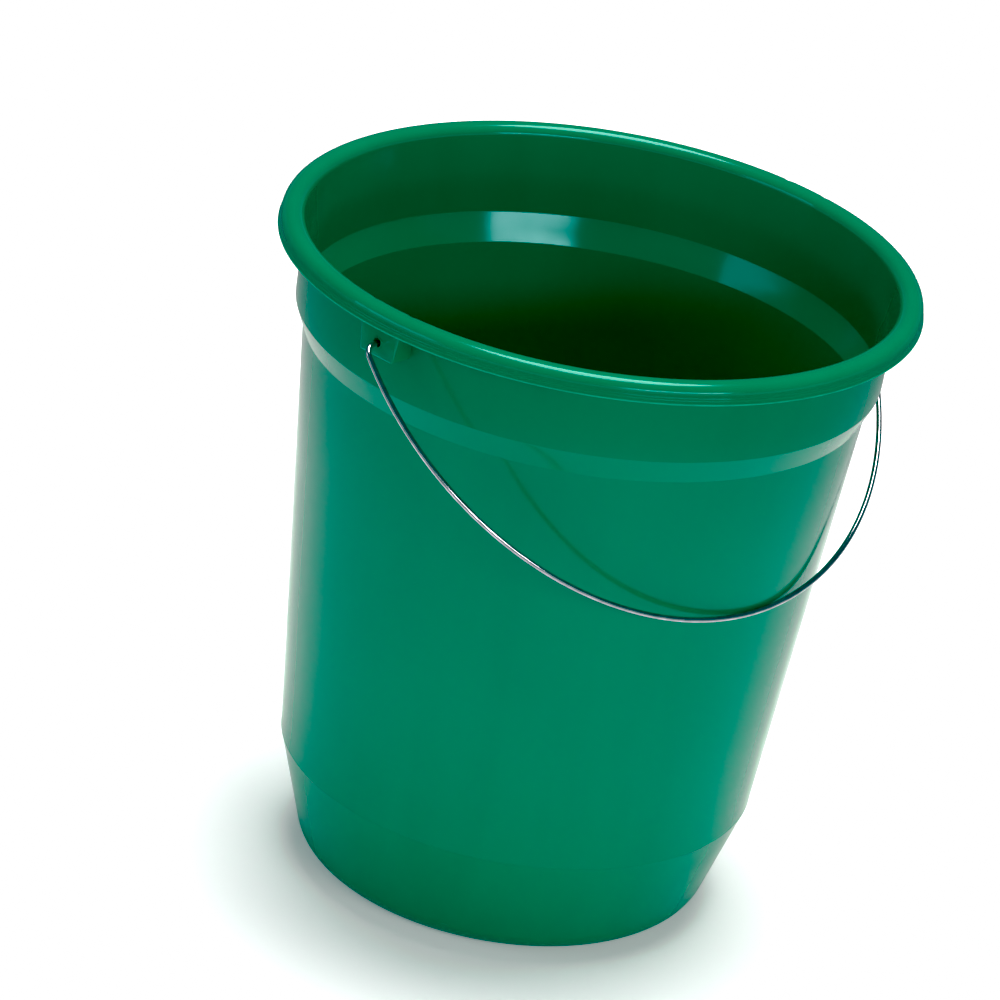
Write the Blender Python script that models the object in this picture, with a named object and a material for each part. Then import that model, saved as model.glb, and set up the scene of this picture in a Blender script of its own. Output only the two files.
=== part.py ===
# Plastic pail with a wire bail: a turned wall with a rolled rim, two hollow ears under the rim,
# and one bent wire that swings in the ears' holes.
# Metres, +Z up. The origin is on the pail's axis, on the plane it stands on; the ears lie on X.
import bmesh
import bpy
import math

for oldObject in list(bpy.data.objects):
    bpy.data.objects.remove(oldObject, do_unlink=True)

# Pail, overall
pailHeight = 0.341  # floor to the top of the rim
rimRadius = 0.160  # outermost, at the lower edge of the skirt
wallThickness = 0.0022  # wall, floor, rim and skirt

# Rolled rim and its skirt
crownRadius = 0.0058  # outside of the rolled top
skirtDrop = 0.0097  # top of the rim to the skirt's lower edge
skirtFlare = 0.0008  # how far the skirt leans out below the crown
rimOverhang = 0.0130  # skirt's edge to the outside of the band
bandStart = 0.0145  # top of the rim to where the flared neck meets the band

# Wall, from the top down
bandDrop = 0.0461  # top of the rim to the shoulder's upper edge
bandDraft = math.radians(1.7)
shoulderHeight = 0.0129
shoulderStep = 0.0054  # radius lost over the shoulder
shoulderFillet = 0.0030
bodyDraft = math.radians(5.14)
footHeight = 0.0589  # floor to the ring where the foot cone starts
footDraft = math.radians(17.1)
footFillet = 0.0020
heelRadius = 0.0160  # outside rounding between the foot cone and the floor

# Ears
earSetback = 0.0018  # rim's outermost radius to the ear's front face
earDrop = 0.0244  # top of the rim to the ear's lower edge
earWidth = 0.0212  # at the lower edge
earDraft = math.radians(7.0)  # each side leans out towards the top
earWall = 0.0021
earPad = 0.0003  # plastic left over the band inside the ear
earEdge = 0.0012
holeDrop = 0.0168  # top of the rim to the hole's centre

# Bail
wireRadius = 0.0014
bailSideGap = 0.0080  # rim's outermost radius to the wire's centre at its widest
bailReachGap = 0.0219  # rim's outermost radius to the wire's centre, with the bail level
bailCentreDrop = 0.0235  # hinge line to the widest point of the arc
outerBend = 0.0060  # centre radius of the bend outside the ear
innerBend = 0.0024  # centre radius of the bend inside the ear
tipLength = 0.0062  # hinge line to the end of the bent tip
holeClearance = 0.0009  # hole's radius beyond the wire's
runningGap = 0.0003  # wire to the bottom of its hole
seatGap = 0.0003  # wire to the wall it hangs against

# Facets
turnSteps = 72
crownSteps = 10
heelSteps = 5
filletSteps = 2
holeSteps = 20
bendSteps = 5
arcSteps = 64
wireResolution = 3
smoothAngle = math.radians(28)
searchSteps = 40

# Sizes that follow from the ones above
crownCentreRadius = rimRadius - skirtFlare - crownRadius
crownCentreHeight = pailHeight - crownRadius
bandTopRadius = rimRadius - rimOverhang
bandTopHeight = pailHeight - bandStart
shoulderTopHeight = pailHeight - bandDrop
shoulderTopRadius = bandTopRadius - (bandTopHeight - shoulderTopHeight) * math.tan(bandDraft)
shoulderEndHeight = shoulderTopHeight - shoulderHeight
shoulderEndRadius = shoulderTopRadius - shoulderStep
footRadius = shoulderEndRadius - (shoulderEndHeight - footHeight) * math.tan(bodyDraft)
floorRadius = footRadius - footHeight * math.tan(footDraft)
skirtHeight = pailHeight - skirtDrop
earFront = rimRadius - earSetback
earHeight = pailHeight - earDrop
holeHeight = pailHeight - holeDrop
holeRadius = wireRadius + holeClearance
hingeHeight = holeHeight - holeClearance + runningGap
bailHalfWidth = rimRadius + bailSideGap
bailReach = rimRadius + bailReachGap


def filleted(corners):
    # Each corner is radius, height, fillet and steps; a fillet of 0 keeps the corner sharp.
    line = []
    for index, (radius, height, fillet, steps) in enumerate(corners):
        if fillet == 0:
            line.append((radius, height))
            continue
        before = corners[index - 1]
        after = corners[index + 1]
        inward = math.atan2(before[1] - height, before[0] - radius)
        outward = math.atan2(after[1] - height, after[0] - radius)
        half = math.remainder(outward - inward, math.tau) / 2
        middle = inward + half
        reach = fillet / math.sin(abs(half))
        centre = (radius + reach * math.cos(middle), height + reach * math.sin(middle))
        start = inward - math.copysign(math.pi / 2, half)
        sweep = math.copysign(math.pi, half) - 2 * half
        for step in range(steps + 1):
            angle = start - sweep * step / steps
            line.append((centre[0] + fillet * math.cos(angle), centre[1] + fillet * math.sin(angle)))
    return line


def arc(centre, radius, fromAngle, toAngle, steps):
    points = []
    for step in range(steps + 1):
        angle = fromAngle + (toAngle - fromAngle) * step / steps
        points.append((centre[0] + radius * math.cos(angle), centre[1] + radius * math.sin(angle)))
    return points


def offsetLine(line, distance):
    # The line moved to its left by the distance, with mitred corners; its ends stay at their radius.
    moved = []
    for index, (radius, height) in enumerate(line):
        before = line[max(index - 1, 0)]
        after = line[min(index + 1, len(line) - 1)]
        normals = []
        for first, second in ((before, (radius, height)), ((radius, height), after)):
            run = math.hypot(second[0] - first[0], second[1] - first[1])
            if run > 0:
                normals.append(((first[1] - second[1]) / run, (second[0] - first[0]) / run))
        across = sum(normal[0] for normal in normals) / len(normals)
        along = sum(normal[1] for normal in normals) / len(normals)
        scale = distance / (across * across + along * along)
        moved.append((radius + across * scale, height + along * scale))
    return moved


def makeMaterial(name, colour, roughness, metallic):
    material = bpy.data.materials.new(name)
    material.use_nodes = True
    shader = material.node_tree.nodes["Principled BSDF"]
    shader.inputs["Base Color"].default_value = (*colour, 1.0)
    shader.inputs["Roughness"].default_value = roughness
    shader.inputs["Metallic"].default_value = metallic
    return material


def addMesh(name, shape, material=None):
    mesh = bpy.data.meshes.new(name)
    bmesh.ops.recalc_face_normals(shape, faces=shape.faces)
    shape.to_mesh(mesh)
    shape.free()
    mesh.shade_smooth()
    mesh.set_sharp_from_angle(angle=smoothAngle)
    if material:
        mesh.materials.append(material)
    made = bpy.data.objects.new(name, mesh)
    bpy.context.collection.objects.link(made)
    return made


def turned(line):
    # A closed outline in the XZ plane, from axis to axis, spun about Z.
    shape = bmesh.new()
    corners = [shape.verts.new((radius, 0, height)) for radius, height in line]
    edges = [shape.edges.new(pair) for pair in zip(corners, corners[1:])]
    bmesh.ops.spin(
        shape,
        geom=corners + edges,
        cent=(0, 0, 0),
        axis=(0, 0, 1),
        angle=math.tau,
        steps=turnSteps,
        use_merge=True,
    )
    bmesh.ops.remove_doubles(shape, verts=shape.verts, dist=1e-6)
    return shape


def lowerOutline():
    # Outside of the pail from the floor's centre up to the band's top.
    return filleted(
        [
            (0, 0, 0, 0),
            (floorRadius, 0, heelRadius, heelSteps),
            (footRadius, footHeight, footFillet, filletSteps),
            (shoulderEndRadius, shoulderEndHeight, shoulderFillet, filletSteps),
            (shoulderTopRadius, shoulderTopHeight, shoulderFillet, filletSteps),
            (bandTopRadius, bandTopHeight, 0, 0),
        ]
    )


def pailOutline():
    outside = lowerOutline()
    inside = offsetLine(outside, wallThickness)
    inside[0] = (0, wallThickness)
    crownCentre = (crownCentreRadius, crownCentreHeight)
    under = arc(crownCentre, crownRadius - wallThickness, math.pi, 0, crownSteps)
    over = arc(crownCentre, crownRadius, 0, math.pi, crownSteps)
    skirt = [(rimRadius - wallThickness, skirtHeight), (rimRadius, skirtHeight)]
    return outside + under + skirt + over + inside[::-1]


def earHalfWidth(height):
    return earWidth / 2 + (height - earHeight) * math.tan(earDraft)


def earOutline():
    # The ear's side view: it rises from its lower edge into the rim's solid crown.
    core = crownRadius - wallThickness / 3
    middle = wallThickness / 2
    crown = arc((crownCentreRadius, crownCentreHeight), core, math.radians(15), math.radians(160), 5)
    back = [(bandTopRadius - middle, bandTopHeight), (bandTopRadius - middle, earHeight)]
    return [(earFront, earHeight)] + crown + back


def earHollowOutline():
    # The space inside the ear, open below; its back stands just off the band and the flared neck.
    neck = crownCentreRadius - crownRadius + wallThickness + earPad
    roof = crownCentreHeight + wallThickness / 2
    back = bandTopRadius + earPad
    front = earFront - earWall
    low = earHeight - earWidth
    return [
        (front, low),
        (front, roof),
        (neck, roof),
        (neck, crownCentreHeight),
        (back, bandTopHeight),
        (back, low),
    ]


def earSolid(outline, inset, side):
    # The outline drawn out to both sides of Y = 0, wider towards the top by the ear's draft.
    shape = bmesh.new()
    loops = []
    for hand in (-1, 1):
        loop = []
        for across, height in outline:
            loop.append(shape.verts.new((side * across, hand * (earHalfWidth(height) - inset), height)))
        loops.append(loop)
    for loop in loops:
        shape.faces.new(loop)
    count = len(outline)
    for index in range(count):
        following = (index + 1) % count
        shape.faces.new((loops[0][index], loops[0][following], loops[1][following], loops[1][index]))
    return shape


def roundEarEdges(shape, side):
    # The edges round the front face's foot and its two upright edges.
    chosen = []
    for edge in shape.edges:
        ends = [vertex.co for vertex in edge.verts]
        onFront = all(abs(end.x - side * earFront) < 1e-6 for end in ends)
        onFoot = all(abs(end.z - earHeight) < 1e-6 for end in ends)
        lengthwise = abs(ends[0].y - ends[1].y) < 1e-6
        if onFoot and (lengthwise or onFront):
            chosen.append(edge)
        elif all(side * end.x > earFront - earEdge for end in ends) and ends[0].y * ends[1].y > 0:
            if min(end.z for end in ends) < skirtHeight:
                chosen.append(edge)
    bmesh.ops.bevel(
        shape,
        geom=chosen,
        offset=earEdge,
        offset_type="OFFSET",
        segments=2,
        profile=0.5,
        affect="EDGES",
        clamp_overlap=True,
    )


def cutOrJoin(target, tool, operation):
    tool.hide_render = True
    tool.display_type = "WIRE"
    modifier = target.modifiers.new(tool.name, "BOOLEAN")
    modifier.operation = operation
    modifier.solver = "EXACT"
    modifier.object = tool


def wirePath():
    # Half of the wire in the bail's own plane: X along the hinge, drop below it. Tip first.
    plateInside = earFront - earWall - runningGap
    tipCentre = plateInside - innerBend
    points = [(tipCentre, -tipLength)]
    points += arc((plateInside, -innerBend), innerBend, math.pi, math.pi / 2, bendSteps)
    depth = bailReach - bailCentreDrop
    first = math.asin((outerBend - bailCentreDrop) / depth)
    side = bailHalfWidth * math.cos(first)
    points += arc((side - outerBend, outerBend), outerBend, -math.pi / 2, 0, bendSteps)
    for step in range(1, arcSteps // 2 + 1):
        angle = first + (math.pi / 2 - first) * step / (arcSteps // 2)
        points.append((bailHalfWidth * math.cos(angle), bailCentreDrop + depth * math.sin(angle)))
    points[-1] = (0.0, bailReach)
    return points


def clearance(path, outline, angle):
    # Least distance from the wire's surface to the pail's turned wall, with the bail at this angle
    # below level; less than zero once the wire would be in the wall.
    least = math.inf
    for across, drop in path:
        if drop <= bailCentreDrop:
            continue
        radius = math.hypot(across, drop * math.cos(angle))
        height = hingeHeight - drop * math.sin(angle)
        for (firstRadius, firstHeight), (nextRadius, nextHeight) in zip(outline, outline[1:]):
            if firstHeight < height <= nextHeight:
                lean = math.atan2(nextRadius - firstRadius, nextHeight - firstHeight)
                share = (height - firstHeight) / (nextHeight - firstHeight)
                wall = firstRadius + (nextRadius - firstRadius) * share
                least = min(least, (radius - wall) * math.cos(lean) - wireRadius)
    return least


def restAngle(path, outline):
    # The bail falls from level until the wire meets the wall.
    level = 0.0
    down = math.pi / 2
    for step in range(searchSteps):
        middle = (level + down) / 2
        if clearance(path, outline, middle) > seatGap:
            level = middle
        else:
            down = middle
    return level


greenPlastic = makeMaterial("green_plastic", (0.0, 0.235, 0.125), 0.16, 0.0)
brightSteel = makeMaterial("bright_steel", (0.62, 0.62, 0.63), 0.18, 1.0)

pail = addMesh("pail", turned(pailOutline()), greenPlastic)
for side, hand in ((-1, "left"), (1, "right")):
    block = earSolid(earOutline(), 0, side)
    roundEarEdges(block, side)
    cutOrJoin(pail, addMesh("earBlock_" + hand, block), "UNION")
    hollow = earSolid(earHollowOutline(), earWall, side)
    cutOrJoin(pail, addMesh("earHollow_" + hand, hollow), "DIFFERENCE")
    drill = bmesh.new()
    bmesh.ops.create_cone(
        drill,
        cap_ends=True,
        segments=holeSteps,
        radius1=holeRadius,
        radius2=holeRadius,
        depth=4 * earWall,
    )
    drillObject = addMesh("earDrill_" + hand, drill)
    drillObject.rotation_euler.y = math.pi / 2
    drillObject.location = (side * (earFront - earWall / 2), 0, holeHeight)
    cutOrJoin(pail, drillObject, "DIFFERENCE")

halfPath = wirePath()
hangAngle = restAngle(halfPath, lowerOutline())
wirePoints = [(-across, drop) for across, drop in halfPath] + halfPath[-2::-1]

wireCurve = bpy.data.curves.new("bail", "CURVE")
wireCurve.dimensions = "3D"
wireCurve.bevel_depth = wireRadius
wireCurve.bevel_resolution = wireResolution
wireCurve.use_fill_caps = True
wireSpline = wireCurve.splines.new("POLY")
wireSpline.points.add(len(wirePoints) - 1)
for point, (across, drop) in zip(wireSpline.points, wirePoints):
    point.co = (across, 0, -drop, 1)
wireSpline.use_smooth = True
wireCurve.materials.append(brightSteel)
bail = bpy.data.objects.new("bail", wireCurve)
bail.location = (0, 0, hingeHeight)
bail.rotation_euler.x = hangAngle - math.pi / 2
bpy.context.collection.objects.link(bail)
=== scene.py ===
import math

import bmesh
import bpy
from mathutils import Matrix, Vector


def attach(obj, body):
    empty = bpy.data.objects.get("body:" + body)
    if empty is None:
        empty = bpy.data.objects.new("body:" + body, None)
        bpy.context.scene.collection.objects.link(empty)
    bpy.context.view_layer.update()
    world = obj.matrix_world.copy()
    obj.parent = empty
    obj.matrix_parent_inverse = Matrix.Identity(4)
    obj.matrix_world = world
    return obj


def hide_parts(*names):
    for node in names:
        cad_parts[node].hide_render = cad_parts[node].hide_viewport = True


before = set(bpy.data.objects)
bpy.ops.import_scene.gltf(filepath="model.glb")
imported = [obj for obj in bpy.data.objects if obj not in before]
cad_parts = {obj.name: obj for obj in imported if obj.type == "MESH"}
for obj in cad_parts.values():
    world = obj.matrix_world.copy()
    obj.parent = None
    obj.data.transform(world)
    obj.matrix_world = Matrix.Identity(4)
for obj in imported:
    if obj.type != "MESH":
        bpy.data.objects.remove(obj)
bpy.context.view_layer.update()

scene = bpy.context.scene


def linkNew(name, data):
    made = bpy.data.objects.new(name, data)
    scene.collection.objects.link(made)
    return made


def meshPiece(name, shape, sharpDegrees=32):
    mesh = bpy.data.meshes.new(name)
    shape.to_mesh(mesh)
    shape.free()
    mesh.shade_smooth()
    mesh.set_sharp_from_angle(angle=math.radians(sharpDegrees))
    return linkNew(name, mesh)


def roundedLine(corners):
    # radius, height, fillet, steps for each corner, in millimetres; a corner with no fillet stays sharp
    line = []
    for index, (radius, height, fillet, steps) in enumerate(corners):
        corner = Vector((radius, height))
        if not fillet:
            line.append(corner)
            continue
        toBefore = (Vector(corners[index - 1][:2]) - corner).normalized()
        toAfter = (Vector(corners[index + 1][:2]) - corner).normalized()
        half = toBefore.angle(toAfter) / 2
        centre = corner + (toBefore + toAfter).normalized() * fillet / math.sin(half)
        first = corner + toBefore * fillet / math.tan(half) - centre
        turn = first.angle_signed(corner + toAfter * fillet / math.tan(half) - centre)
        for step in range(steps + 1):
            swung = first.copy()
            swung.rotate(Matrix.Rotation(-turn * step / steps, 2))
            line.append(centre + swung)
    return line


def refined(line, longest):
    # splits long straight runs, so that the wall has even faces
    finer = [line[0]]
    for before, after in zip(line, line[1:]):
        parts = max(1, math.ceil((after - before).length / longest))
        finer += [before.lerp(after, part / parts) for part in range(1, parts + 1)]
    return finer


def spun(line, steps):
    # an outline in millimetres that runs from axis to axis, turned about Z
    shape = bmesh.new()
    corners = [shape.verts.new((point.x / 1000, 0, point.y / 1000)) for point in line]
    edges = [shape.edges.new(pair) for pair in zip(corners, corners[1:])]
    bmesh.ops.spin(
        shape, geom=corners + edges, cent=(0, 0, 0), axis=(0, 0, 1),
        angle=math.tau, steps=steps, use_merge=True,
    )
    bmesh.ops.remove_doubles(shape, verts=shape.verts, dist=1e-6)
    bmesh.ops.recalc_face_normals(shape, faces=shape.faces)
    return shape


def bevelEdges(shape, edges, offset, segments):
    bmesh.ops.bevel(
        shape, geom=edges, offset=offset, offset_type="OFFSET", affect="EDGES",
        segments=segments, profile=0.5, material=-1,
    )


def carve(piece, tool, operation="DIFFERENCE"):
    # a Boolean whose result becomes the piece's own mesh; the tool is thrown away
    cut = piece.modifiers.new("cut", "BOOLEAN")
    cut.operation = operation
    cut.solver = "EXACT"
    cut.object = tool
    result = bpy.data.meshes.new_from_object(piece.evaluated_get(bpy.context.evaluated_depsgraph_get()))
    piece.modifiers.clear()
    piece.data = result
    bpy.data.objects.remove(tool, do_unlink=True)


def joined(name, pieces, sharpDegrees):
    shape = bmesh.new()
    for piece in pieces:
        shape.from_mesh(piece.data)
        bpy.data.objects.remove(piece, do_unlink=True)
    bmesh.ops.remove_doubles(shape, verts=shape.verts, dist=1e-7)
    return meshPiece(name, shape, sharpDegrees)


class Nodes:
    # short ways to add and join nodes, in a material or in the world
    def __init__(self, owner, shader="Principled BSDF"):
        owner.use_nodes = True
        self.tree = owner.node_tree
        self.shader = self.tree.nodes[shader]

    def add(self, kind, **settings):
        node = self.tree.nodes.new(kind)
        for key, value in settings.items():
            setattr(node, key, value)
        return node

    def join(self, source, target):
        self.tree.links.new(source, target)

    def stretched(self, vector, scale):
        place = self.add("ShaderNodeMapping")
        place.inputs["Scale"].default_value = scale
        self.join(vector, place.inputs["Vector"])
        return place.outputs["Vector"]

    def coordinates(self, scale=(1, 1, 1)):
        return self.stretched(self.add("ShaderNodeTexCoord").outputs["Object"], scale)

    def heightOf(self, vector):
        split = self.add("ShaderNodeSeparateXYZ")
        self.join(vector, split.inputs["Vector"])
        return split.outputs["Z"]

    def lengthOf(self, vector):
        node = self.add("ShaderNodeVectorMath", operation="LENGTH")
        self.join(vector, node.inputs[0])
        return node.outputs["Value"]

    def withFixed(self, operation, vector, fixed):
        # vector maths whose second side is the same everywhere
        node = self.add("ShaderNodeVectorMath", operation=operation)
        self.join(vector, node.inputs[0])
        node.inputs[1].default_value = fixed
        return node

    def noise(self, vector, scale, detail=2.0, roughness=0.5, distortion=0.0):
        node = self.add("ShaderNodeTexNoise")
        node.inputs["Scale"].default_value = scale
        node.inputs["Detail"].default_value = detail
        node.inputs["Roughness"].default_value = roughness
        node.inputs["Distortion"].default_value = distortion
        self.join(vector, node.inputs["Vector"])
        return node.outputs["Fac"]

    def spread(self, value, fromRange, toRange, **settings):
        node = self.add("ShaderNodeMapRange", **settings)
        for key, number in zip(("From Min", "From Max", "To Min", "To Max"), (*fromRange, *toRange)):
            node.inputs[key].default_value = number
        self.join(value, node.inputs["Value"])
        return node.outputs["Result"]

    def combine(self, operation, first, second):
        node = self.add("ShaderNodeMath", operation=operation)
        self.join(first, node.inputs[0])
        if isinstance(second, float):
            node.inputs[1].default_value = second
        else:
            self.join(second, node.inputs[1])
        return node.outputs["Value"]

    def blendColours(self, amount, first, second):
        node = self.add("ShaderNodeMix", data_type="RGBA")
        self.join(amount, node.inputs["Factor"])
        for socket, colour in ((node.inputs["A"], first), (node.inputs["B"], second)):
            if isinstance(colour, tuple):
                socket.default_value = (*colour, 1)
            else:
                self.join(colour, socket)
        return node.outputs["Result"]

    def bump(self, height, distance, after=None):
        node = self.add("ShaderNodeBump")
        node.inputs["Distance"].default_value = distance
        node.inputs["Strength"].default_value = 1.0
        self.join(height, node.inputs["Height"])
        if after:
            self.join(after, node.inputs["Normal"])
        return node.outputs["Normal"]


cameraSettings = dict(
    place=(-2.1093, -1.6539, 1.4479),
    aim=(-0.0185, 0.0231, 0.1963),
    roll=9.66,  # degrees, right side up
    lens=213.3,
    sensor=36,
    near=0.05,
    far=60,
)


def makeCamera(settings):
    data = bpy.data.cameras.new("viewCamera")
    data.lens = settings["lens"]
    data.sensor_width = settings["sensor"]
    data.clip_start = settings["near"]
    data.clip_end = settings["far"]
    camera = linkNew("viewCamera", data)
    look = Vector(settings["aim"]) - Vector(settings["place"])
    roll = Matrix.Rotation(math.radians(settings["roll"]), 3, "Z")
    turn = look.to_track_quat("-Z", "Y").to_matrix() @ roll
    camera.matrix_world = Matrix.Translation(settings["place"]) @ turn.to_4x4()
    scene.camera = camera


roomSettings = dict(
    ceilingColour=(0.10, 0.105, 0.11),
    wallColour=(1.05, 1.05, 1.04),
    ceilingFade=(0.02, 0.28),  # heights on the room's dome where the walls start and end their fade
    front=(-0.78, -0.626, 0.0),  # the side of the room that is lit
    frontFade=(-0.5, 0.6),  # how far round from the back the wall's light starts and ends its rise
    backShare=0.15,
)


def makeRoom(settings):
    world = bpy.data.worlds.new("studioWorld")
    sky = Nodes(world, "Background")
    way = sky.add("ShaderNodeTexCoord").outputs["Generated"]
    low = sky.spread(sky.heightOf(way), settings["ceilingFade"], (1.0, 0.0), interpolation_type="SMOOTHSTEP")
    facing = sky.withFixed("DOT_PRODUCT", way, settings["front"]).outputs["Value"]
    lit = sky.spread(facing, settings["frontFade"], (settings["backShare"], 1.0))
    share = sky.combine("MULTIPLY", low, lit)
    light = sky.blendColours(share, settings["ceilingColour"], settings["wallColour"])
    sky.join(light, sky.shader.inputs["Color"])
    scene.world = world


lampSettings = dict(
    aim=(0, 0, 0.28),
    overhead=dict(strength=3.0, spread=36, tilt=(-3.5, 7.0), colour=(1.0, 0.995, 0.98)),
    keyBox=dict(
        azimuth=-110, elevation=19, distance=1.7, width=1.05, height=0.14,
        power=6.6, colour=(1.0, 0.99, 0.97),
    ),
    sideBox=dict(
        azimuth=150, elevation=19, distance=1.9, width=1.1, height=0.4,
        power=3.2, colour=(0.84, 0.95, 1.0),
    ),
)


def makeOverhead(settings):
    data = bpy.data.lights.new("overheadLight", "SUN")
    data.energy = settings["strength"]
    data.angle = math.radians(settings["spread"])
    data.color = settings["colour"]
    lamp = linkNew("overheadLight", data)
    lamp.rotation_euler = [math.radians(turn) for turn in (*settings["tilt"], 0)]


def makeSoftBox(name, settings, aim):
    data = bpy.data.lights.new(name, "AREA")
    data.shape = "RECTANGLE"
    data.size = settings["width"]
    data.size_y = settings["height"]
    data.energy = settings["power"]
    data.color = settings["colour"]
    lamp = linkNew(name, data)
    azimuth = math.radians(settings["azimuth"])
    elevation = math.radians(settings["elevation"])
    level = math.cos(elevation)
    away = Vector((math.cos(azimuth) * level, math.sin(azimuth) * level, math.sin(elevation)))
    lamp.location = Vector(aim) + away * settings["distance"]
    lamp.rotation_euler = (-away).to_track_quat("-Z", "Y").to_euler()
    lamp.visible_camera = False


floorSettings = dict(
    size=14,
    drop=0.0002,  # keeps the floor just clear of the pail's foot
    colour=(0.88, 0.885, 0.89),
    mottle=1.02,  # how much lighter the light spots are
    mottleScale=3.0,
    glow=0.22,  # lifts the floor's shadows, and lights nothing else
    glowColour=(0.96, 0.98, 1.0),
    bounce=(0.96, 0.16),  # what the floor gives back to the pail, near it and far off: a painted pool of light in the floor's colour
    pool=(0.46, 0.86),  # metres from the axis where the painted pool of light starts and stops fading
    roughness=0.85,
    specular=0.1,
)


def makeFloor(settings):
    shape = bmesh.new()
    bmesh.ops.create_grid(shape, x_segments=1, y_segments=1, size=settings["size"])
    bmesh.ops.translate(shape, verts=shape.verts, vec=(0, 0, -settings["drop"]))
    floor = meshPiece("studioFloor", shape)

    material = bpy.data.materials.new("floorPaint")
    paint = Nodes(material)
    here = paint.coordinates()
    lighter = tuple(part * settings["mottle"] for part in settings["colour"])
    spots = paint.noise(here, settings["mottleScale"], detail=3.0)
    seen = paint.blendColours(spots, settings["colour"], lighter)
    # for every ray but the camera's, the floor's colour is a painted pool of light, light near the pail and
    # dark far off
    pool = paint.spread(paint.lengthOf(here), settings["pool"], settings["bounce"])
    toCamera = paint.add("ShaderNodeLightPath").outputs["Is Camera Ray"]
    paint.join(paint.blendColours(toCamera, pool, seen), paint.shader.inputs["Base Color"])
    glow = paint.combine("MULTIPLY", toCamera, settings["glow"])
    paint.join(glow, paint.shader.inputs["Emission Strength"])
    paint.shader.inputs["Emission Color"].default_value = (*settings["glowColour"], 1)
    paint.shader.inputs["Roughness"].default_value = settings["roughness"]
    paint.shader.inputs["Specular IOR Level"].default_value = settings["specular"]
    floor.data.materials.append(material)


# Studio grade: each channel's darkest tones fall to nothing, its lightest clip, and the middle stays.
gradeSettings = dict(
    red=((0.10, 0.0), (0.34, 0.32), (0.50, 0.50), (0.80, 1.0)),
    green=((0.017, 0.0), (0.12, 0.116), (0.50, 0.50), (0.80, 1.0)),
    blue=((0.016, 0.0), (0.14, 0.134), (0.50, 0.50), (0.80, 1.0)),
)


def gradePicture(settings):
    scene.view_settings.view_transform = "Standard"
    scene.view_settings.look = "None"
    scene.view_settings.use_curve_mapping = True
    mapping = scene.view_settings.curve_mapping
    for curve, points in zip(mapping.curves, settings.values()):
        for place in points:
            curve.points.new(*place)
        for point in curve.points:
            point.handle_type = "VECTOR"
    mapping.update()


gradePicture(gradeSettings)
makeCamera(cameraSettings)
makeRoom(roomSettings)
makeOverhead(lampSettings["overhead"])
makeSoftBox("keyBox", lampSettings["keyBox"], lampSettings["aim"])
makeSoftBox("sideBox", lampSettings["sideBox"], lampSettings["aim"])
makeFloor(floorSettings)
print("camera and studio ready")


plasticSettings = dict(
    deep=(0.0, 0.222, 0.094),
    light=(0.0, 0.246, 0.106),
    cloudScale=9.0,
    flowScale=(26, 26, 2.2),  # drawn out up the wall, as the melt flowed
    roughness=(0.10, 0.17),
    polishScale=22.0,
    ior=1.49,
    specular=0.5,
    tint=(0.50, 0.92, 1.0),
    peel=0.00004,  # metres of slow waviness left by the mould
    peelScale=60.0,
    grain=0.0000022,
    grainScale=1400.0,
    scuffHeight=0.020,  # metres up the foot where the scuffs end
    scuffScale=(30, 30, 420),
    scuffRoughness=0.35,
    lipHighlightColour=(0.10, 0.50, 0.30),  # painted highlight: a light line along the skirt's thin edge
    lipRadius=0.1594,
    lipTop=0.3320,
    lipScale=55.0,
)


def bodyColour(paint, here, settings):
    cloud = paint.noise(here, settings["cloudScale"], detail=3.0, roughness=0.55)
    flow = paint.noise(paint.coordinates(settings["flowScale"]), 1.0, detail=3.0, distortion=0.4)
    mixed = paint.spread(paint.combine("ADD", cloud, flow), (0.7, 1.3), (0.0, 1.0))
    return paint.blendColours(mixed, settings["deep"], settings["light"])


def lipHighlightAmount(paint, here, settings):
    # painted highlight: one on the skirt's outermost edge below the lip's top, broken up in places by noise
    radius = paint.lengthOf(paint.withFixed("MULTIPLY", here, (1, 1, 0)).outputs["Vector"])
    outer = paint.spread(radius, (settings["lipRadius"], settings["lipRadius"] + 0.0002), (0.0, 1.0))
    under = paint.spread(paint.heightOf(here), (settings["lipTop"], settings["lipTop"] - 0.0003), (0.0, 1.0))
    patchy = paint.spread(paint.noise(here, settings["lipScale"], detail=3.0), (0.25, 0.6), (0.35, 1.0))
    return paint.combine("MULTIPLY", paint.combine("MULTIPLY", outer, under), patchy)


def footScuff(paint, here, settings):
    low = paint.spread(paint.heightOf(here), (0.0, settings["scuffHeight"]), (1.0, 0.0))
    field = paint.noise(paint.coordinates(settings["scuffScale"]), 1.0, detail=4.0, roughness=0.7)
    scratch = paint.spread(field, (0.55, 0.75), (0.0, settings["scuffRoughness"]))
    return paint.combine("MULTIPLY", low, scratch)


def makeGreenPlastic(settings):
    material = bpy.data.materials.new("greenPlastic")
    paint = Nodes(material)
    here = paint.coordinates()
    lip = lipHighlightAmount(paint, here, settings)
    # the skirt's edge takes a painted highlight colour over the body's own colour
    colour = paint.blendColours(lip, bodyColour(paint, here, settings), settings["lipHighlightColour"])
    paint.join(colour, paint.shader.inputs["Base Color"])

    polishField = paint.noise(here, settings["polishScale"], detail=4.0, roughness=0.6)
    polish = paint.spread(polishField, (0.3, 0.7), settings["roughness"])
    rough = paint.combine("ADD", polish, footScuff(paint, here, settings))
    paint.join(rough, paint.shader.inputs["Roughness"])

    peel = paint.bump(paint.noise(here, settings["peelScale"], detail=1.5), settings["peel"])
    grain = paint.bump(paint.noise(here, settings["grainScale"], detail=2.0), settings["grain"], after=peel)
    paint.join(grain, paint.shader.inputs["Normal"])

    paint.shader.inputs["IOR"].default_value = settings["ior"]
    paint.shader.inputs["Specular IOR Level"].default_value = settings["specular"]
    paint.shader.inputs["Specular Tint"].default_value = (*settings["tint"], 1)
    return material


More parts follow.
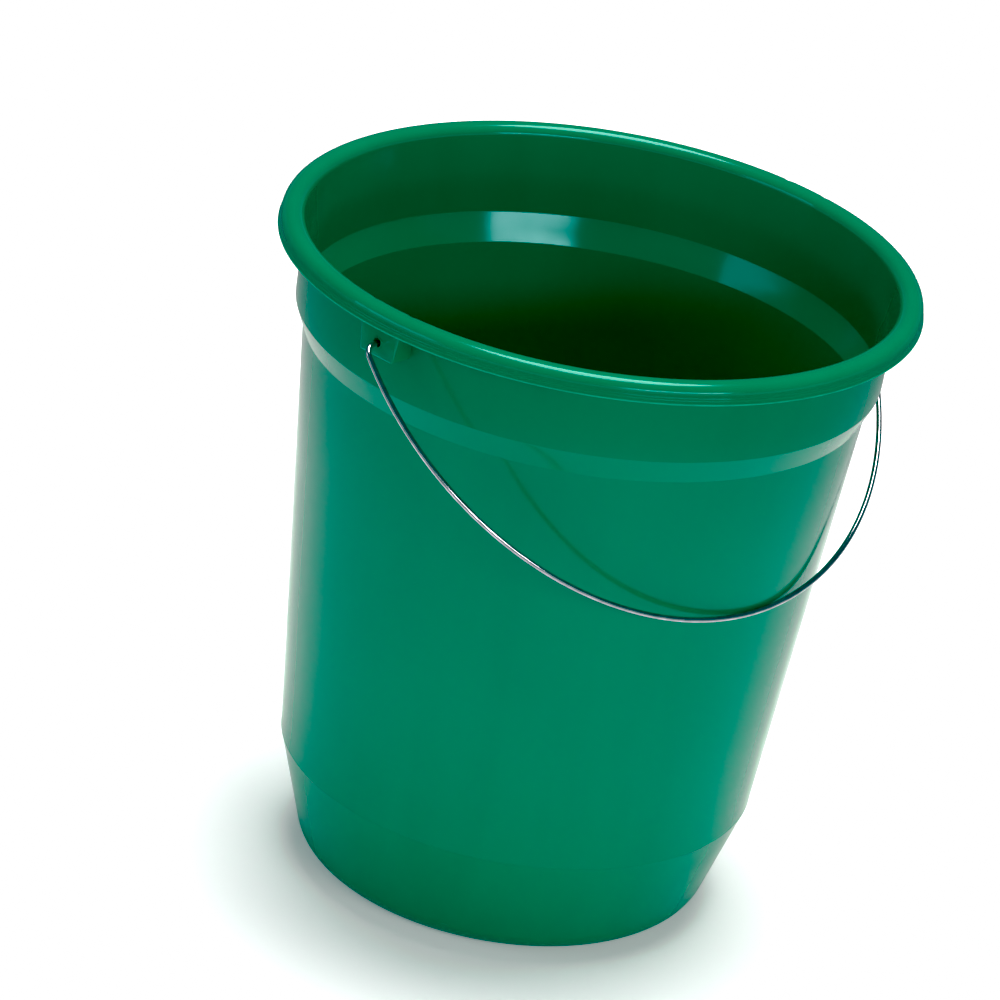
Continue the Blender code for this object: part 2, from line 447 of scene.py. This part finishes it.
steelSettings = dict(
    bright=(0.56, 0.55, 0.60),
    dull=(0.36, 0.36, 0.39),
    roughness=(0.07, 0.19),
    lineStretch=(3.0, 3.0, 14.0),
    lineScale=2.2,
    spotScale=160.0,
    drawMark=0.000006,  # depth of the drawn lines along the wire, metres
)


def makeWireSteel(settings):
    # wireGrain holds the direction round the wire and the distance along it
    material = bpy.data.materials.new("wireSteel")
    paint = Nodes(material)
    grain = paint.add("ShaderNodeAttribute", attribute_name="wireGrain", attribute_type="GEOMETRY")
    along = paint.stretched(grain.outputs["Vector"], settings["lineStretch"])
    lines = paint.noise(along, settings["lineScale"], detail=4.0, roughness=0.6)
    spots = paint.noise(paint.coordinates(), settings["spotScale"], detail=3.0)
    dulled = paint.spread(spots, (0.35, 0.7), (0.0, 1.0))
    colour = paint.blendColours(dulled, settings["bright"], settings["dull"])
    paint.join(colour, paint.shader.inputs["Base Color"])
    rough = paint.spread(paint.combine("ADD", lines, spots), (0.7, 1.3), settings["roughness"])
    paint.join(rough, paint.shader.inputs["Roughness"])
    paint.join(paint.bump(lines, settings["drawMark"]), paint.shader.inputs["Normal"])
    paint.shader.inputs["Metallic"].default_value = 1.0
    return material


greenPlastic = makeGreenPlastic(plasticSettings)
wireSteel = makeWireSteel(steelSettings)
print("finishes ready")


pailSize = dict(  # millimetres
    height=341.0,
    rim=160.0,
    wall=2.2,
    crown=5.8,
    skirtDrop=9.7,
    skirtFlare=0.8,
    bandTop=147.0,
    bandTopDrop=14.5,
    shoulderTop=(146.06, 294.9),
    shoulderEnd=(140.66, 282.0),
    foot=(120.59, 58.9),
    floorEdge=102.47,
    heel=16.0,
    gate=1.5,  # radius of the gate's stub, under the middle of the floor
    gateLevel=0.5,
    dimple=8.2,  # radius and depth of the dimple that the stub stands in
    dimpleDepth=1.0,
    longestRun=12,
    steps=320,
    sinkDepth=0.3,
    sinkSpread=0.55,  # degrees round the rim
    sinkPlace=4.6,  # degrees from the middle of the ear to each of its sides
)

earSize = dict(  # millimetres
    back=145.7,
    front=158.2,
    bottom=316.6,
    shoulder=336.4,
    top=338.6,
    width=21.2,
    draft=7.0,  # degrees, each side
    wall=2.1,
    hole=2.3,
    holeHeight=324.2,
    holeSteps=64,
    drill=12,
    collar=0.8,  # width and depth of the raised ring round the hole
    edge=1.1,
)


def underside(size):
    # from the axis out to the heel; each corner is radius, height, fillet, steps, as are all those below
    gate, level = size["gate"], size["gateLevel"]
    dimple, depth = size["dimple"], size["dimpleDepth"]
    return [
        (0, level, 0, 0),
        (gate, level, 0.2, 3),
        (gate + 0.4, depth, 0.2, 3),
        (dimple - 1.2, depth, 0.6, 4),
        (dimple, 0, 0.6, 4),
        (size["floorEdge"], 0, size["heel"], 16),
    ]


def outsideWall(size):
    # foot ring, wall, shoulder and band
    radius, height = size["foot"]
    return [
        (radius - 0.12, height - 0.4, 0.3, 2),
        (radius + 0.10, height - 0.05, 0.15, 3),  # crisp ring where the foot's mould half meets the wall's
        (radius + 0.11, height + 0.2, 0.15, 3),
        (radius + 0.03, height + 0.5, 0.3, 2),
        (*size["shoulderEnd"], 1.6, 6),
        (*size["shoulderTop"], 1.6, 6),
        (size["bandTop"], size["height"] - size["bandTopDrop"], 7.0, 6),
    ]


def rolledRim(size):
    # up into the channel, down inside the skirt, round its edge, up its outside and over the crown
    height, rim, wall, crown = size["height"], size["rim"], size["wall"], size["crown"]
    crownOut = rim - size["skirtFlare"]
    crownIn = crownOut - 2 * crown
    foot = height - size["skirtDrop"]
    return [
        (crownIn + wall + 1.2, height - wall, crown - wall - 0.4, 8),
        (crownOut - wall, height - wall, crown - wall - 0.4, 8),
        (rim - wall, foot, 0.35, 3),
        (rim, foot, 0.12, 2),  # flash line on the skirt's edge
        (rim, foot + 0.45, 0.12, 2),
        (rim - 0.32, foot + 0.75, 0.2, 2),
        (rim - 0.42, foot + 2.1, 0.3, 3),  # two faint steps up the skirt
        (rim - 0.62, foot + 2.3, 0.3, 3),
        (rim - 0.70, foot + 3.3, 0.3, 3),
        (crownOut, foot + 3.5, 0.3, 3),
        (crownOut, height, crown, 20),
        (crownIn + 0.2, height, crown, 20),
    ]


def insideWall(size):
    # down the inside, from the flared mouth to the middle of the floor
    wall = size["wall"]
    topRadius, topHeight = size["shoulderTop"]
    endRadius, endHeight = size["shoulderEnd"]
    footRadius, footHeight = size["foot"]
    return [
        (size["bandTop"] - wall - 0.25, 314.0, 110.0, 10),
        (topRadius - wall - 0.05, topHeight + 0.4, 2.2, 6),
        (endRadius - wall - 0.35, endHeight - 1.4, 1.6, 6),
        (footRadius - wall, footHeight + 0.3, 1.2, 4),
        (size["floorEdge"] - 1.6, wall, size["heel"] - wall, 12),
        (0, wall, 0, 0),
    ]


def addSinkMarks(shape, size):
    # shallow dents in the rim where each ear's two sides meet it, as a moulding shows
    crownFoot = (size["height"] - size["crown"] * 1.2) / 1000
    depth = size["sinkDepth"] / 1000
    spread = math.radians(size["sinkSpread"])
    places = [math.radians(ear + hand * size["sinkPlace"]) for ear in (0, 180) for hand in (-1, 1)]
    for corner in shape.verts:
        if corner.co.z < crownFoot:
            continue
        angle = math.atan2(corner.co.y, corner.co.x)
        for place in places:
            away = math.remainder(angle - place, math.tau)
            if abs(away) < 4 * spread:
                corner.co -= corner.normal * depth * math.exp(-((away / spread) ** 2))


def earBlock(size, outline, side, inset=0.0):
    # the side view drawn out to both sides, wider towards the top
    shape = bmesh.new()
    face = shape.faces.new([shape.verts.new((side * x / 1000, 0, z / 1000)) for x, z in outline])
    grown = bmesh.ops.extrude_face_region(shape, geom=[face])
    moved = {part for part in grown["geom"] if isinstance(part, bmesh.types.BMVert)}
    slope = math.tan(math.radians(size["draft"]))
    for corner in shape.verts:
        half = (size["width"] / 2 + (corner.co.z * 1000 - size["bottom"]) * slope - inset) / 1000
        corner.co.y = half if corner in moved else -half
    bmesh.ops.recalc_face_normals(shape, faces=shape.faces)
    return shape


def earEdges(block, size, side):
    # the edges round the ear's foot, apart from the one in the wall, and its two upright front edges
    chosen = []
    for edge in block.edges:
        heights = [corner.co.z * 1000 for corner in edge.verts]
        places = [side * corner.co.x * 1000 for corner in edge.verts]
        low = max(heights) < size["bottom"] + 0.1
        inWall = max(places) < size["back"] + 0.8
        upright = min(places) > size["front"] - 0.1 and abs(heights[0] - heights[1]) > 2
        if (low and not inWall) or upright:
            chosen.append(edge)
    return chosen


def earPlug(name, size, side, radii, depth, middle):
    # a round block across the ear's front plate, on the hole's axis
    plug = bmesh.new()
    bmesh.ops.create_cone(
        plug, cap_ends=True, segments=size["holeSteps"],
        radius1=radii[0] / 1000, radius2=radii[1] / 1000, depth=depth / 1000,
    )
    turn = Matrix.Rotation(side * math.pi / 2, 3, "Y")
    bmesh.ops.rotate(plug, verts=plug.verts, cent=(0, 0, 0), matrix=turn)
    bmesh.ops.translate(plug, verts=plug.verts, vec=(side * middle / 1000, 0, size["holeHeight"] / 1000))
    return meshPiece(name, plug)


def makeEar(size, side):
    back, front, bottom = size["back"], size["front"], size["bottom"]
    hole, collar = size["hole"], size["collar"]
    outline = [  # its back and top are buried in the wall and the rim
        (back, bottom), (front, bottom), (front, size["shoulder"]), (156.4, size["top"]),
        (151.2, size["top"]), (149.2, 335.6), (146.8, 327.0),
    ]
    block = earBlock(size, outline, side)
    bevelEdges(block, earEdges(block, size, side), size["edge"] / 1000, 4)
    ear = meshPiece("ear", block)
    carve(ear, earPlug("collar", size, side, (hole + collar, hole + collar * 0.6), collar, front), "UNION")

    plate = front - size["wall"]
    below = bottom - 20
    hollow = [(147.4, below), (plate, below), (plate, 336.0), (150.4, 336.0), (150.1, 335.2), (147.4, 326.5)]
    carve(ear, meshPiece("hollow", earBlock(size, hollow, side, inset=size["wall"])))
    carve(ear, earPlug("drill", size, side, (hole, hole), size["drill"], front - 1))
    return ear


def makePail(size, ears):
    corners = underside(size) + outsideWall(size) + rolledRim(size) + insideWall(size)
    wall = spun(refined(roundedLine(corners), size["longestRun"]), size["steps"])
    wall.normal_update()
    addSinkMarks(wall, size)
    pail = joined("bucketPail", [meshPiece("shell", wall), makeEar(ears, -1), makeEar(ears, 1)], 30)
    pail.data.materials.append(greenPlastic)
    return pail


pail = makePail(pailSize, earSize)
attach(pail, "pail_body")
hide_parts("pail")
print("pail ready")


bailSize = dict(  # millimetres
    wire=1.4,
    hinge=323.6,
    hangs=42.008,  # degrees below level
    halfWidth=168.0,
    reach=181.9,
    centreDrop=23.5,
    outerBend=6.0,
    innerBend=2.4,
    plateInside=155.8,
    tip=6.2,
    tipRun=0.6,
    tipRuns=6,
    innerSteps=12,
    outerSteps=16,
    arcSteps=110,
    round=28,
    endEdge=0.25,
)


def bend(across, drop, radius, first, last, steps):
    # a round bend about a centre, from one angle to another
    angles = [first + (last - first) * step / steps for step in range(steps + 1)]
    return [Vector((across + radius * math.cos(angle), drop + radius * math.sin(angle))) for angle in angles]


def bailPath(size):
    # half of the wire, from its bent tip to the middle of the arc: across, and drop below the hinge
    inner, outer, inside = size["innerBend"], size["outerBend"], size["plateInside"]
    path = [Vector((inside - inner, -size["tip"] + run * size["tipRun"])) for run in range(size["tipRuns"])]
    path += bend(inside, -inner, inner, math.pi, math.pi / 2, size["innerSteps"])
    depth = size["reach"] - size["centreDrop"]
    first = math.asin((outer - size["centreDrop"]) / depth)
    side = size["halfWidth"] * math.cos(first)
    path += bend(side - outer, outer, outer, -math.pi / 2, 0.0, size["outerSteps"])
    for step in range(1, size["arcSteps"] + 1):
        angle = first + (math.pi / 2 - first) * step / size["arcSteps"]
        drop = size["centreDrop"] + depth * math.sin(angle)
        path.append(Vector((size["halfWidth"] * math.cos(angle), drop)))
    path[-1].x = 0
    return path


def inPlane(point):
    # a place or direction of the path, in the plane of the bail while it hangs straight down
    return Vector((point.x, 0, -point.y))


def sweepRings(shape, path, size):
    # extrudes a circle along the path, and returns the corners at each of its points
    heading = inPlane(path[1] - path[0]).normalized()
    ring = bmesh.ops.create_circle(shape, cap_ends=True, segments=size["round"], radius=size["wire"])["verts"]
    turn = Vector((0, 0, 1)).rotation_difference(heading).to_matrix()
    bmesh.ops.rotate(shape, verts=ring, cent=(0, 0, 0), matrix=turn)
    bmesh.ops.translate(shape, verts=ring, vec=inPlane(path[0]))
    edges = list(shape.edges)
    rings = [list(ring)]
    for before, here, following in zip(path, path[1:], path[2:] + path[-1:]):
        grown = bmesh.ops.extrude_edge_only(shape, edges=edges)["geom"]
        ring = [part for part in grown if isinstance(part, bmesh.types.BMVert)]
        grownEdges = [part for part in grown if isinstance(part, bmesh.types.BMEdge)]
        edges = [edge for edge in grownEdges if edge.verts[0] in ring and edge.verts[1] in ring]
        nextHeading = inPlane(following - before).normalized()
        turn = heading.rotation_difference(nextHeading).to_matrix()
        bmesh.ops.rotate(shape, verts=ring, cent=inPlane(before), matrix=turn)
        bmesh.ops.translate(shape, verts=ring, vec=inPlane(here - before))
        heading = nextHeading
        rings.append(ring)
    bmesh.ops.contextual_create(shape, geom=edges)
    return rings


def markGrain(grain, path, rings, size):
    # each corner keeps its direction round the wire, and its distance along the wire in metres
    run = 0.0
    for point, ring, before, after in zip(path, rings, path[:1] + path, path[1:] + path[-1:]):
        along = (after - before).normalized()
        run += (point - before).length
        for corner in ring:
            away = (corner.co - inPlane(point)) / size["wire"]
            corner[grain] = (away.y, away.x * along.y + away.z * along.x, run / 1000)


def makeBail(size):
    half = bailPath(size)
    path = [Vector((-point.x, point.y)) for point in half] + half[-2::-1]
    shape = bmesh.new()
    grain = shape.verts.layers.float_vector.new("wireGrain")
    rings = sweepRings(shape, path, size)
    markGrain(grain, path, rings, size)
    ends = [face for face in shape.faces if len(face.verts) > 4]
    bevelEdges(shape, [edge for face in ends for edge in face.edges], size["endEdge"], 2)
    bmesh.ops.recalc_face_normals(shape, faces=shape.faces)
    hang = Matrix.Rotation(math.radians(size["hangs"] - 90), 3, "X")
    bmesh.ops.rotate(shape, verts=shape.verts, cent=(0, 0, 0), matrix=hang)
    bmesh.ops.translate(shape, verts=shape.verts, vec=(0, 0, size["hinge"]))
    bmesh.ops.scale(shape, verts=shape.verts, vec=(0.001, 0.001, 0.001))
    bail = meshPiece("wireBail", shape, 40)
    bail.data.materials.append(wireSteel)
    return bail


bail = makeBail(bailSize)
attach(bail, "bail_body")
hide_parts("bail")
print("bail ready")
